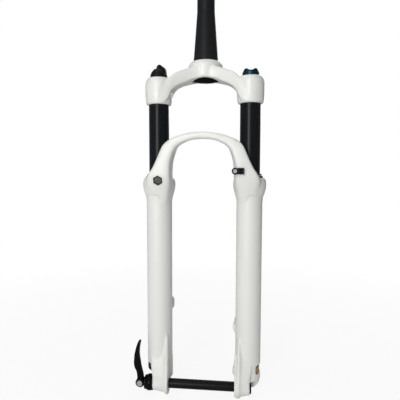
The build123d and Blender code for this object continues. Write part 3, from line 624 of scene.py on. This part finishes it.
def dropoutSection(across, radius, topZ, topY, backY):
    # side view at one distance across: a web down the front of the leg into the axle eye
    reach = math.dist((topY, topZ), (axleY, axleZ))
    lean = math.atan2(topZ - axleZ, topY - axleY) + math.acos(radius / reach)
    sweep = 2 * math.pi - lean
    steps = 24
    ring = [(across, topY, topZ)]
    for i in range(steps + 1):
        a = lean + sweep * i / steps
        ring.append((across, axleY + radius * math.cos(a), axleZ + radius * math.sin(a)))
    ring.append((across, backY, max(topZ - 30, axleZ + 2)))
    ring.append((across, backY, topZ))
    return ring


def dropout(side, face):
    hub, eye = casting["hubHalf"], casting["eyeRadius"]
    depth = abs(face) - hub
    rows = [
        (hub, eye - 0.4, axleZ + 70, legY - 13, legY - 6),
        (hub + 1, eye, axleZ + 76, legY - 14.5, legY - 6),
        (hub + 3.6, eye - 0.2, axleZ + 82, legY - 16, legY - 6),
        (hub + 5.4, eye - 1.6, axleZ + 74, legY - 16, legY - 6),
        (hub + 8, eye - 3.4, axleZ + 58, legY - 17.2, legY - 8),
        (hub + depth * 0.6, eye - 4.4, axleZ + 46, legY - 19, legY - 10),
        (hub + depth * 0.85, eye - 5.2, axleZ + 36, legY - 19.4, legY - 12),
        (abs(face) - 0.6, eye - 5.5, axleZ + 26, legY - 19.6, legY - 14),
        (abs(face), eye - 6, axleZ + 25, legY - 19.6, legY - 14),
    ]
    return loft("dropout", [dropoutSection(side * row[0], *row[1:]) for row in rows])


def gusset(side, face):
    # joins the foot of the leg to the outer end of the dropout
    rows = [
        (axleZ + 66, 60, abs(face) + 5.5, legY - 17, legY - 8),
        (axleZ + 44, 58, abs(face) + 5.0, legY - 21, legY - 9),
        (axleZ + 28, 57, abs(face) + 3.6, legY - 25.5, legY - 10),
        (axleZ + 15, 56.5, abs(face) + 1.0, legY - 29, legY - 12),
        (axleZ + 5, 56.5, abs(face) - 0.3, legY - 30, legY - 12),
        (axleZ - 5, 57, abs(face) - 0.8, legY - 28, legY - 12),
    ]
    rings = []
    for z, near, far, frontY, rearY in rows:
        corners = [(near, rearY), (near, frontY), (far, frontY + 2.5), (far, rearY)]
        flat = roundedCorners(corners, [1, 4, 5, 1])
        rings.append([(side * p.x, p.y, z) for p in flat])
    return loft("gusset", rings)


def brakePost(z):
    postX = legX - casting["postInset"]
    profile = [
        (0, legY), (9.6, legY), (9, legY + 12), (7.6, legY + 20), (7, legY + 26), (7, castBack - 1),
        (6.2, castBack), (0, castBack),
    ]
    post = turned("post", profile, alongY(postX, z), 48)
    ribNear, ribFar = legY + 4, castBack - 9
    rib = [
        [(x, ribNear, z - 21), (x, ribNear, z + 21), (x, ribFar, z + 6), (x, ribFar, z - 6)]
        for x in (postX - 3.2, postX + 4.4)
    ]
    return [post, loft("rib", rib)]


cups = [turned("cup", cupProfile(), upright(side * legX)) for side in (-1, 1)]
trunk = blended("trunk", [arch, *cups], casting["trunkGrain"], casting["trunkEase"])
# the cups end in a crease that runs diagonally down to nothing on the inner side
creaseLine = [
    (-120, cupBottom), (-71, cupBottom), (-67, cupBottom - 8), (-60, creaseLow), (60, creaseLow),
    (67, cupBottom - 8), (71, cupBottom), (120, cupBottom), (120, cupBottom - 60), (-120, cupBottom - 60),
]
belowCups = loft("belowCups", [[(x, y, z) for x, z in creaseLine] for y in (-90, 30)])
cutAway(trunk, [belowCups])
parts = [trunk]
for side, face in ((-1, abs(leverFace)), (1, nutFace)):
    parts.append(turned("leg", legProfile(side), upright(side * legX)))
    parts.append(dropout(side, face))
    parts.append(gusset(side, face))
# thin wall on the inner side of the damper foot, beside the rebound knob
shieldRadius = casting["legRadius"] + casting["shieldWall"]
shieldArc = [math.radians(a) for a in range(-44, 45, 4)]
shieldFlat = [(-legX + shieldRadius * math.cos(a), legY + shieldRadius * math.sin(a)) for a in shieldArc]
shieldFlat += [(-legX + 12, legY + 15), (-legX + 12, legY - 15)]
parts.append(loft("shield", [[(x, y, z) for x, y in shieldFlat] for z in (axleZ + 5, damperFoot + 8)]))
# lip that guides the hub on the brake side
lipFace, eyeRadius = casting["hubHalf"] - casting["hubLip"], casting["eyeRadius"]
hubHalf = casting["hubHalf"]
lip = [(lipFace, eyeRadius - 2.4), (lipFace + 0.8, eyeRadius - 1.6), (hubHalf + 1, eyeRadius - 0.4)]
parts.append(loft("lip", [dropoutSection(x, eye, axleZ + 50, legY - 12, legY - 8) for x, eye in lip]))
for z in [axleZ + height for height in casting["postHeights"]]:
    parts += brakePost(z)
lug = [(0, -11), (3.2, -10), (5.2, -6.5), (5.6, 0), (5.2, 6.5), (3.2, 10), (0, 11)]
parts.append(turned("lug", [(r, z + axleZ + 123) for r, z in lug], upright(-legX + 16, legY + 17), 32))
castingSkin = blended("lowerCasting", parts, casting["grain"], casting["ease"])
print("casting skin", len(castingSkin.data.polygons))


def legCutter(side):
    bore, boltHole = casting["boreRadius"], casting["footBoltHole"]
    if side < 0:
        pocket = footKnobLow.z - 1.6
        room = (footKnobHigh.x - footKnobLow.x) / 2 + 0.5
        foot = [
            (0, pocket), (room, pocket), (room, damperFoot), (bore - 1, damperFoot), (bore - 1, floorBottom),
        ]
    else:
        chamber, chamberFloor = footNutRadius + 0.5, floorBottom - 18
        foot = [
            (0, airFoot - 1), (7, airFoot - 1), (7, chamberFloor), (chamber, chamberFloor),
            (chamber, floorBottom),
        ]
    rest = [
        (boltHole, floorBottom), (boltHole, floorTop), (bore, floorTop), (bore, sealTop - 31),
        (bore + 2.5, sealTop - 31), (bore + 2.5, sealTop - 7.5), (bore + 4.9, sealTop - 7.5),
        (bore + 4.9, sealTop + 80), (0, sealTop + 80),
    ]
    return turned("bore", foot + rest, upright(side * legX))


def windowCutter():
    middle, tall, wide = floorBottom - 8.3, 7.8, footNutRadius - 2.2
    low, high = middle - tall, middle + tall
    corners = [(legY - wide, low), (legY + wide, low), (legY + wide, high), (legY - wide, high)]
    flat = roundedCorners(corners, [4.5] * 4)
    return loft("window", [[(x, p.x, p.y) for p in flat] for x in (legX + 4, legX + 30)])


def axleCutter(radius, start, end):
    return turned("axleHole", [(0, start), (radius, start), (radius, end), (0, end)], alongX(), 64)


guideScrew = spanOf("hose_guide_screw")
screwX = (guideScrew[0].x + guideScrew[1].x) / 2
screwZ = (guideScrew[0].z + guideScrew[1].z) / 2
cutters = [
    legCutter(-1), legCutter(1), windowCutter(),
    axleCutter(axleRadius + 0.05, leverFace - 6, nutFace + 6),
    axleCutter(casting["nutRecess"], nutFace, legX + 23),
    axleCutter(casting["hubRecess"], lipFace - 1, hubHalf),
    turned("screwHole", [(0, -70), (1.5, -70), (1.5, -55), (0, -55)], alongY(screwX, screwZ), 24),
]
for z in [axleZ + height for height in casting["postHeights"]]:
    thread = [
        (0, castBack - 18), (2.5, castBack - 18), (2.5, castBack - 0.8), (3.2, castBack + 1),
        (0, castBack + 1),
    ]
    cutters.append(turned("thread", thread, alongY(legX - casting["postInset"], z), 32))
cutAway(castingSkin, cutters)
fit(castingSkin, "lowers", "white_paint", finishes["white_paint"], "lower_casting")


# hexagonal badge on the damper side's seal cup: a black frame around a grey resin face with a plain ring

badge = {"halfWidth": 7.0, "x": -legX + 4.1, "drop": 11.0, "grain": 0.26, "ease": 3, "inlayEase": 2}
surface = BVHTree.FromObject(castingSkin, bpy.context.evaluated_depsgraph_get())


def skinSpot(x, z):
    # point on the front of the casting
    spot = surface.ray_cast(Vector((x, -150, z)) * mm, Vector((0, 1, 0)))[0]
    return spot / mm


badgeZ = sealTop - badge["drop"]
badgeMiddle = skinSpot(badge["x"], badgeZ)
acrossBadge = (skinSpot(badge["x"] + 6, badgeZ) - skinSpot(badge["x"] - 6, badgeZ)).normalized()
upBadge = (skinSpot(badge["x"], badgeZ + 7) - skinSpot(badge["x"], badgeZ - 7)).normalized()
outBadge = acrossBadge.cross(upBadge).normalized()
upBadge = outBadge.cross(acrossBadge)
badgePlace = Matrix((acrossBadge, upBadge, outBadge)).transposed().to_4x4()
badgePlace.translation = badgeMiddle


def hexRing(halfWidth, lift):
    corner = halfWidth / math.cos(math.pi / 6)
    turns = [i * math.pi / 3 for i in range(6)]
    return [badgePlace @ Vector((corner * math.sin(a), corner * math.cos(a), lift)) for a in turns]


half = badge["halfWidth"]
frameRings = [
    (half, -1.2), (half, 0.5), (half - 0.5, 1.0), (half - 2.4, 1.0), (half - 2.8, 0.55), (half - 2.9, -0.2),
    (half - 2.9, -1.2),
]
hexFrame = loft("frame", [hexRing(w, h) for w, h in frameRings])
badgeFrame = blended("badgeFrame", [hexFrame], badge["grain"], badge["ease"])
fit(badgeFrame, "lowers", "badge_face", finishes["badge_face"], "hex_badge")
inlayRings = [(half - 3.1, -0.6), (half - 3.1, 0.2), (half - 3.4, 0.4)]
inlay = loft("inlay", [hexRing(w, h) for w, h in inlayRings])
ringProfile = [(0, 0), (2.7, 0), (2.7, 0.7), (2.4, 0.9), (2.0, 0.9), (1.7, 0.7), (1.5, 0.4), (0, 0.4)]
ringMark = turned("ringMark", ringProfile, badgePlace, 48)
badgeInlay = blended("badgeInlay", [inlay, ringMark], badge["grain"], badge["inlayEase"])
fit(badgeInlay, "lowers", "badge_face", badgeGrey)


# crown: neck, swept arms and the two stanchion bosses

crown = {
    "grain": 0.95,
    "ease": 6,
    "neckRadius": 28.3,
    "depth": 28.5,
    "bossRadius": 21.3,
    "rearLift": 3.4,  # how much higher the arms' rear lower edge runs
    "steererSeat": 19.5,
}
bossTop = capTop + 0.8


def crownSection(row):
    x, top, bottom, frontY, rearY, easeTop, easeLow = row
    rearLift = crown["rearLift"] * min(abs(x) / 28, 1)
    corners = [
        (frontY, bottom), (frontY - 0.6, (top + bottom) / 2), (frontY + 2, top), (rearY - 2, top),
        (rearY, bottom + rearLift),
    ]
    radii = [easeLow, 6, easeTop, easeTop, 4]
    return [(x, p.x, p.y) for p in roundedCorners(corners, radii)]


# across, top, bottom, front, rear, rounding above and below
halfCrown = [
    (0.01, -7.5, -28.6, -26.8, 24, 7, 1.6),
    (12, -8.5, -30.2, -27.6, 22.5, 7, 1.6),
    (20, -11.5, -33, -29.2, 18.5, 7, 1.8),
    (28, -15, -37, -31.8, 12, 7, 2),
    (36, -18.4, -40.6, -35, 4.5, 7, 2.2),
    (44, -22, -46, -38.6, -2.5, 7, 2.4),
    (50, -26.6, -52.8, -41.8, -6.5, 7, 2.8),
    (54, -30.4, -62.5, -43.8, -8, 7, 3.4),
    (58, -33.6, -69, -45.4, -9, 7, 4),
    (62, -36, -71, -46.8, -10, 7, 4),
    (67, -38, -71, -47.8, -11, 7, 4),
]
crownRows = [[-r[0], *r[1:]] for r in reversed(halfCrown)] + [list(r) for r in halfCrown[1:]]
arms = loft("arms", [crownSection(r) for r in smoothRun(crownRows, 3)])
neckRadius, neckDepth = crown["neckRadius"], crown["depth"]
neckProfile = [
    (0, -neckDepth), (neckRadius - 1.2, -neckDepth), (neckRadius, -neckDepth + 1.4), (neckRadius, -9),
    (neckRadius - 0.7, -5.6), (neckRadius - 2.6, -2.6), (neckRadius - 5, -0.8), (neckRadius - 7, -0.1),
    (0, 0),
]
neck = turned("neck", neckProfile, upright(0, 0))
bossRadius = crown["bossRadius"]
bossProfile = [
    (0, bossBottom), (bossRadius - 2.8, bossBottom), (bossRadius - 1.6, bossBottom + 1.2),
    (bossRadius - 0.7, bossBottom + 5), (bossRadius - 0.1, bossBottom + 12), (bossRadius, bossBottom + 20),
    (bossRadius, bossTop - 11),
    (bossRadius - 0.9, bossTop - 6), (bossRadius - 2.6, bossTop - 2.6), (bossRadius - 4.6, bossTop - 0.6),
    (0, bossTop),
]
bosses = [turned("boss", bossProfile, upright(side * legX)) for side in (-1, 1)]
crownSkin = blended("forkCrown", [arms, neck, *bosses], crown["grain"], crown["ease"])
holeLow, holeHigh = bossBottom - 4, bossTop + 4
tubeProfile = [(0, holeLow), (tubeRadius, holeLow), (tubeRadius, holeHigh), (0, holeHigh)]
tubeHoles = [turned("tubeHole", tubeProfile, upright(side * legX)) for side in (-1, 1)]
plugRadius = spanOf("crown_plug")[1].x + 0.02
steererSeat = crown["steererSeat"]
steererProfile = [
    (0, -neckDepth - 6), (plugRadius, -neckDepth - 6), (plugRadius, -neckDepth + 2),
    (steererSeat, -neckDepth + 2), (steererSeat, 4), (0, 4),
]
steererHole = turned("steererHole", steererProfile, upright(0, 0))
cutAway(crownSkin, [*tubeHoles, steererHole])
fit(crownSkin, "upper", "white_paint", finishes["white_paint"], "crown")


# axle lever: round hub on the pivot pin and a thin blade that bows away from the leg

lever = {"width": 12.0, "hubRadius": 7.4, "slot": 6.8, "pinHole": 3.55, "grain": 0.42, "ease": 4}
pinLow, pinHigh = spanOf("lever_pivot_pin")
pivotX = (pinLow.x + pinHigh.x) / 2
leverRows = [
    # outer x, outer z, inner x, inner z from the pivot, then how much narrower on each side than the hub
    (-3.4, 1, 5.0, 1, 0),
    (-4.4, 8, 5.2, 10, 0),
    (-5.6, 18.5, 3.4, 18.5, 0),
    (-8.6, 25, 1.6, 26, 0),
    (-10.0, 31.5, 0.5, 34, 0),
    (-9.8, 39, -0.6, 41, 0.1),
    (-8.8, 48.5, -1.2, 48, 0.3),
    (-6.4, 58.5, -0.6, 57.5, 0.6),
    (-3.8, 66.2, 1.0, 65.8, 1.2),
    (-2.4, 69.4, 1.8, 68.8, 2.2),
]


def leverSection(row):
    outX, outZ, inX, inZ, narrowing = row
    half = lever["width"] / 2 - narrowing
    outer, inner = Vector((pivotX + outX, axleZ + outZ)), Vector((pivotX + inX, axleZ + inZ))
    thick = (outer - inner).length
    scoop = thick * 0.14
    corners = [
        (0, -half), (scoop, 0), (0, half), (thick * 0.55, half), (thick, half * 0.72), (thick, -half * 0.72),
        (thick * 0.55, -half),
    ]
    radii = [1.8, 5, 1.8, 3, 3, 3, 3]
    ring = []
    for flat in roundedCorners(corners, radii):
        spot = outer.lerp(inner, flat.x / thick)
        ring.append((spot.x, axleY + flat.y, spot.y))
    return ring


hubFront, hubRear = axleY - lever["width"] / 2, axleY + lever["width"] / 2
hubRadius = lever["hubRadius"]
hubProfile = [
    (0, hubFront), (hubRadius - 0.8, hubFront), (hubRadius, hubFront + 0.8), (hubRadius, hubRear - 0.8),
    (hubRadius - 0.8, hubRear), (0, hubRear),
]
hub = turned("hub", hubProfile, alongY(pivotX, axleZ), 64)
blade = loft("blade", [leverSection(r) for r in smoothRun(leverRows, 5)])
leverSkin = blended("quickReleaseLever", [hub, blade], lever["grain"], lever["ease"])
slotHalf = lever["slot"] / 2
slotOut, slotIn = pivotX - 13, pivotX + 13
slotFront, slotRear = axleY - slotHalf, axleY + slotHalf
slotBox = [
    [(slotOut, slotFront, z), (slotOut, slotRear, z), (slotIn, slotRear, z), (slotIn, slotFront, z)]
    for z in (axleZ - 11, axleZ + 11)
]
pinRadius = lever["pinHole"]
pinProfile = [(0, axleY - 12), (pinRadius, axleY - 12), (pinRadius, axleY + 12), (0, axleY + 12)]
pinHole = turned("pinHole", pinProfile, alongY(pivotX, axleZ), 48)
cutAway(leverSkin, [loft("slot", slotBox), pinHole])
fit(leverSkin, "lever", "black_anodised", finishes["black_anodised"], "axle_lever")


# axle collar: the rounded body that the lever's cam pulls against, with eased flats

collarLow, collarHigh = spanOf("axle_collar")
collar = {"flats": 8, "flatDepth": 0.5, "rodHole": 3.2, "seatDepth": 3.9, "grain": 0.4, "ease": 4}
collarProfile = [
    (0, collarLow.x), (10.6, collarLow.x), (11.2, collarLow.x + 1), (12.4, collarLow.x + 3.2),
    (12.9, collarLow.x + 5.6), (12.8, collarLow.x + 8), (12.4, collarHigh.x - 0.5), (12, collarHigh.x),
    (0, collarHigh.x),
]
collarRings = []
for radius, along in collarProfile:
    ring = []
    for i in range(96):
        a = 2 * math.pi * i / 96
        wave = abs(math.sin(a * collar["flats"] / 2)) ** 0.7
        r = max(radius - collar["flatDepth"] * (1 - wave), 0.001)
        ring.append((along, axleY + r * math.cos(a), axleZ + r * math.sin(a)))
    collarRings.append(ring)
collarSkin = blended("axleCollar", [loft("collar", collarRings)], collar["grain"], collar["ease"])
rodRadius, seat, seatRadius = collar["rodHole"], collarLow.x + collar["seatDepth"], axleRadius + 0.03
rodProfile = [
    (0, collarLow.x - 1), (rodRadius, collarLow.x - 1), (rodRadius, seat), (seatRadius, seat),
    (seatRadius, collarHigh.x + 1), (0, collarHigh.x + 1),
]
cutAway(collarSkin, [turned("rodHole", rodProfile, alongX(), 64)])
fit(collarSkin, "axle_unit", "black_anodised", finishes["black_anodised"], "axle_collar")


# compression knob: a low dome with a raised finger fin

knob = {"radius": 13.6, "grips": 18, "gripRadius": 1.3, "shaftRadius": 3, "grain": 0.42, "ease": 4}
knobBase = spanOf("compression_knob")[0].z
knobRadius = knob["radius"]
domeProfile = [
    (0, knobBase), (knobRadius - 0.4, knobBase), (knobRadius, knobBase + 0.6), (knobRadius, knobBase + 3),
    (knobRadius - 0.6, knobBase + 5.4), (knobRadius - 1.8, knobBase + 8.2), (knobRadius - 3.8, knobBase + 11),
    (knobRadius - 6.4, knobBase + 13.4), (4, knobBase + 14.6), (0, knobBase + 15),
]
dome = turned("dome", domeProfile, upright(-legX), 72)
finOutline = [
    # across from the leg's axis and up from the crown's top race, drawn at full height
    (-10.6, -22), (-6.1, -17.3), (-2.7, -15.6), (-2.1, -11.3), (1.9, -8.5), (5.9, -11.5), (10.4, -14.4),
    (12.4, -18.2), (12.8, -22),
]
finRows = []
for along, drop in ((-10.4, 8), (-9, 4.4), (-6, 1.2), (0, 0), (6, 1.2), (9, 4.4), (10.4, 8)):
    outline = [(x, max(z - drop, knobBase + 1.5)) for x, z in finOutline]
    squeeze = 1 - 0.25 * (along / 11) ** 2
    corners = [(outline[0][0], knobBase + 1), *outline, (outline[-1][0], knobBase + 1)]
    flat = roundedCorners([(x * squeeze, z) for x, z in corners], [0.5, 2, 2, 0.8, 1.2, 2.2, 2, 2, 2, 1, 0.5])
    finRows.append([(-legX + p.x, legY + along, p.y) for p in flat])
fin = loft("fin", finRows)
knobSkin = blended("compressionKnob", [dome, fin], knob["grain"], knob["ease"])
gripCutters = []
gripRadius, gripCircle = knob["gripRadius"], knobRadius + 0.9
gripProfile = [
    (0, knobBase - 1), (gripRadius, knobBase - 1), (gripRadius, knobBase + 3.8), (0, knobBase + 5.4),
]
for i in range(knob["grips"]):
    a = 2 * math.pi * (i + 0.5) / knob["grips"]
    gripPlace = upright(-legX + gripCircle * math.cos(a), legY + gripCircle * math.sin(a))
    gripCutters.append(turned("grip", gripProfile, gripPlace, 20))
shaftTop = spanOf("compression_shaft")[1].z
shaftRadius = knob["shaftRadius"]
shaftProfile = [(0, knobBase - 1), (shaftRadius, knobBase - 1), (shaftRadius, shaftTop), (0, shaftTop)]
gripCutters.append(turned("shaftHole", shaftProfile, upright(-legX), 40))
cutAway(knobSkin, [joined("grips", gripCutters)])
fit(knobSkin, "compression_dial", "black_plastic", finishes["black_plastic"], "compression_knob")


# stage

floorMaterial, floorNodes, floorLinks, floorShader = newFinish("pale floor", Roughness=0.85)
floorSkin = placeGroup(floorNodes, paintSkin, Peel_Scale=40.0, Drift_Scale=2.0)
floorTone = addMix(floorNodes, floorLinks, floorSkin.outputs["Drift"], (0.86, 0.86, 0.86), (0.9, 0.9, 0.9))
floorLinks.new(floorTone, floorShader.inputs["Base Color"])
# the sweep of paper glows towards its far edge, so that it meets the backdrop without a line
floorGlow = floorNodes.new("ShaderNodeEmission")
floorWhere = floorNodes.new("ShaderNodeTexCoord")
floorReach = floorNodes.new("ShaderNodeVectorMath")
floorReach.operation = "LENGTH"
floorFade = floorNodes.new("ShaderNodeMapRange")
floorFade.inputs["From Min"].default_value = 0.2
floorFade.inputs["From Max"].default_value = 1.1
floorFade.inputs["To Min"].default_value = 0.82
floorRays = floorNodes.new("ShaderNodeLightPath")
floorSeen = floorNodes.new("ShaderNodeMath")
floorSeen.operation = "MULTIPLY"
floorMix = floorNodes.new("ShaderNodeMixShader")
floorLinks.new(floorWhere.outputs["Object"], floorReach.inputs[0])
floorLinks.new(floorReach.outputs["Value"], floorFade.inputs["Value"])
floorLinks.new(floorFade.outputs["Result"], floorSeen.inputs[0])
floorLinks.new(floorRays.outputs["Is Camera Ray"], floorSeen.inputs[1])
floorLinks.new(floorSeen.outputs["Value"], floorMix.inputs["Fac"])
floorLinks.new(floorShader.outputs["BSDF"], floorMix.inputs[1])
floorLinks.new(floorGlow.outputs["Emission"], floorMix.inputs[2])
floorLinks.new(floorMix.outputs["Shader"], floorNodes["Material Output"].inputs["Surface"])
floorLow = cadBox[0].z / mm
floorHalf = 9000
floorCorners = [(x * floorHalf, y * floorHalf, floorLow) for x, y in ((-1, -1), (1, -1), (1, 1), (-1, 1))]
floor = meshPiece("studioFloor", floorCorners, [[0, 1, 2, 3]])
floor.data.materials.append(floorMaterial)


lightAim = Vector((0, -0.03, -0.25))  # metres, like the lights' spots and sizes


def softbox(name, spot, size, power):
    light = bpy.data.lights.new(name, "AREA")
    light.shape = "RECTANGLE"
    light.size, light.size_y = size
    light.energy = power
    lamp = bpy.data.objects.new(name, light)
    lamp.location = spot
    lamp.rotation_euler = (lightAim - Vector(spot)).to_track_quat("-Z", "Y").to_euler()
    bpy.context.scene.collection.objects.link(lamp)


softbox("frontSoftbox", (-0.42, -1.6, 0.2), (0.6, 1.3), 17.8)
softbox("topSoftbox", (-0.5, -0.5, 1.4), (1.0, 0.9), 5)
softbox("backSoftbox", (0.3, 1.7, 0.7), (1.0, 1.2), 11)

world = bpy.data.worlds.new("studio")
world.use_nodes = True
bpy.context.scene.world = world
skyNodes, skyLinks = world.node_tree.nodes, world.node_tree.links
surround = skyNodes["Background"]
surround.inputs["Color"].default_value = (0.93, 0.95, 1.0, 1)
surround.inputs["Strength"].default_value = 0.23
backdrop = skyNodes.new("ShaderNodeBackground")
backdrop.inputs["Color"].default_value = (1, 1, 1, 1)
rays = skyNodes.new("ShaderNodeLightPath")
pick = skyNodes.new("ShaderNodeMixShader")
skyLinks.new(rays.outputs["Is Camera Ray"], pick.inputs["Fac"])
skyLinks.new(surround.outputs["Background"], pick.inputs[1])
skyLinks.new(backdrop.outputs["Background"], pick.inputs[2])
skyLinks.new(pick.outputs["Shader"], skyNodes["World Output"].inputs["Surface"])
bpy.context.scene.view_settings.view_transform = "Standard"

# the camera stands a little right of the fork and looks slightly up at it
camera = {
    "spot": (56.6, -644.2, -179.8),
    "turn": -0.1018,  # radians, as are the next two
    "tilt": 0.0706,
    "lean": 0.0022,
    "lens": 34.7466,
    "sensor": 36,
}
aimTurn = Matrix.Rotation(camera["turn"], 3, "Z")
aimTilt = Matrix.Rotation(camera["tilt"], 3, "X")
aimLean = Matrix.Rotation(camera["lean"], 3, "Y")
look = aimLean @ aimTilt @ aimTurn
axes = Matrix((look[0], look[2], -look[1])).transposed()
lens = bpy.data.cameras.new("studioCamera")
lens.lens = camera["lens"]
lens.sensor_width = camera["sensor"]
lens.clip_start = 0.01
viewer = bpy.data.objects.new("studioCamera", lens)
viewer.matrix_world = Matrix.Translation(Vector(camera["spot"]) * mm) @ axes.to_4x4()
bpy.context.scene.collection.objects.link(viewer)
bpy.context.scene.camera = viewer
print("stage set")

bpy.context.view_layer.update()
